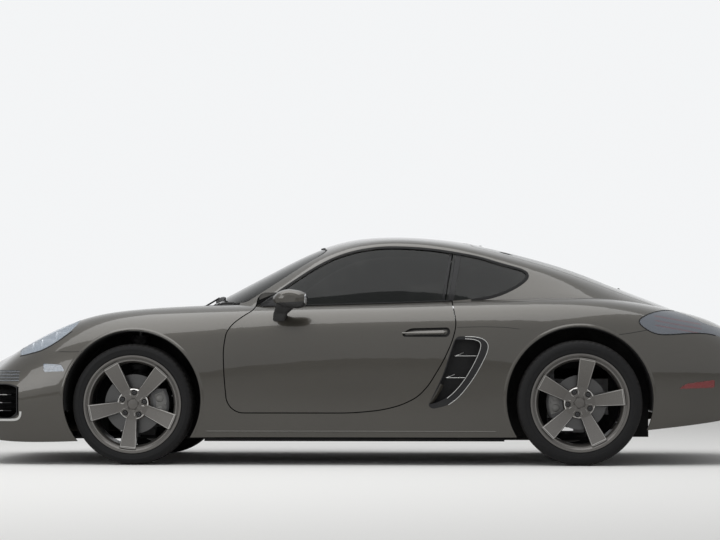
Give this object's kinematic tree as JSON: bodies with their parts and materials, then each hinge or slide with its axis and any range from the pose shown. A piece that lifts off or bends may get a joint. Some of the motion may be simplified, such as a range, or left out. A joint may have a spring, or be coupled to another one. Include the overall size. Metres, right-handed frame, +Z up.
{
  "type": "mid-engined two-seat coupe car",
  "caption": "Low two-seat coupe car with opening doors, bonnet and tailgate, steering front wheels and turning wheels.",
  "frame": {"origin": "on the ground, on the centre line, at the middle of the car's length", "axes": "+X forwards, +Y to the car's left, +Z up"},
  "size_m": [4.379, 1.974, 1.2945],
  "materials": {
    "paint": "metallic gloss",
    "glass": "polished, dark tinted",
    "lamp_clear": "polished",
    "lamp_rear": "gloss",
    "lamp_bowl": "gloss",
    "tyre": "matte",
    "alloy": "satin, painted dark silver",
    "disc_iron": "turned",
    "suspension_metal": "matte",
    "engine_metal": "cast",
    "exhaust_steel": "brushed",
    "steel_dark": "matte",
    "black_trim": "grained",
    "underbody": "matte",
    "cabin_plastic": "grained",
    "leather": "smooth grain"
  },
  "bodies": {
    "root": {"body_sides": "paint", "bumper_front": "paint", "bumper_rear": "paint", "centre_console": "cabin_plastic", "cowl_panel": "black_trim", "dashboard": "cabin_plastic", "diffuser": "black_trim", "engine": "engine_metal", "exhaust": "exhaust_steel", "firewall": "underbody", "floor_pan": "underbody", "front_lamp_lenses": "lamp_clear", "front_luggage_tub": "underbody", "front_suspension": "suspension_metal", "front_wings": "paint", "grille_front": "black_trim", "headlamps": "lamp_bowl", "quarter_glasses": "glass", "rear_bulkhead": "underbody", "rear_carriers": "suspension_metal", "rear_lamp_lenses": "lamp_rear", "rear_luggage_tub": "underbody", "rear_suspension": "suspension_metal", "roof_panel": "paint", "seat_bases": "steel_dark", "seat_left": "leather", "seat_right": "leather", "side_intakes": "black_trim", "spoiler": "paint", "steering_wheel": "leather", "tail_lamps": "lamp_bowl", "wheel_arch_liners": "black_trim", "windscreen": "glass", "wipers": "black_trim"},
    "bonnet": {"bonnet": "paint"},
    "hatch": {"hatch": "paint", "hatch_glass": "glass"},
    "knuckle_left": {"knuckle_left": "suspension_metal"},
    "knuckle_right": {"knuckle_right": "suspension_metal"},
    "door_left": {"door_glass_left": "glass", "door_left": "paint", "mirror_left": "paint"},
    "wheel_front_left": {"rim_front_left": "alloy", "tyre_front_left": "tyre", "brake_disc_front_left": "disc_iron"},
    "wheel_rear_left": {"rim_rear_left": "alloy", "tyre_rear_left": "tyre", "brake_disc_rear_left": "disc_iron"},
    "door_right": {"door_glass_right": "glass", "door_right": "paint", "mirror_right": "paint"},
    "wheel_front_right": {"rim_front_right": "alloy", "tyre_front_right": "tyre", "brake_disc_front_right": "disc_iron"},
    "wheel_rear_right": {"rim_rear_right": "alloy", "tyre_rear_right": "tyre", "brake_disc_rear_right": "disc_iron"}
  },
  "joints": [
    {"name": "door_left_hinge", "type": "hinge", "parent": "root", "child": "door_left", "pos_m": [0.677, 0.8735, 0.52], "axis": [0, 0, -1], "range_deg": [0, 65]},
    {"name": "door_right_hinge", "type": "hinge", "parent": "root", "child": "door_right", "pos_m": [0.677, -0.8735, 0.52], "axis": [0, 0, 1], "range_deg": [0, 65]},
    {"name": "bonnet_hinge", "type": "hinge", "parent": "root", "child": "bonnet", "pos_m": [0.835, 0, 0.874], "axis": [0, -1, 0], "range_deg": [0, 60]},
    {"name": "hatch_hinge", "type": "hinge", "parent": "root", "child": "hatch", "pos_m": [-0.61, 0, 1.244], "axis": [0, 1, 0], "range_deg": [0, 65]},
    {"name": "steer_left", "type": "hinge", "parent": "root", "child": "knuckle_left", "pos_m": [1.2445, 0.7, 0.336], "axis": [0, 0, 1], "range_deg": [-35, 35]},
    {"name": "steer_right", "type": "hinge", "parent": "root", "child": "knuckle_right", "pos_m": [1.2445, -0.7, 0.336], "axis": [0, 0, 1], "range_deg": [-35, 35]},
    {"name": "wheel_front_left_spin", "type": "hinge", "parent": "knuckle_left", "child": "wheel_front_left", "pos_m": [1.2445, 0.7575, 0.336], "axis": [0, 1, 0], "continuous": true},
    {"name": "wheel_front_right_spin", "type": "hinge", "parent": "knuckle_right", "child": "wheel_front_right", "pos_m": [1.2445, -0.7575, 0.336], "axis": [0, 1, 0], "continuous": true},
    {"name": "wheel_rear_left_spin", "type": "hinge", "parent": "root", "child": "wheel_rear_left", "pos_m": [-1.2305, 0.766, 0.346], "axis": [0, 1, 0], "continuous": true},
    {"name": "wheel_rear_right_spin", "type": "hinge", "parent": "root", "child": "wheel_rear_right", "pos_m": [-1.2305, -0.766, 0.346], "axis": [0, 1, 0], "continuous": true}
  ],
  "couplings": [
    {"joint": "steer_right", "follows": "steer_left", "ratio": 1}
  ]
}
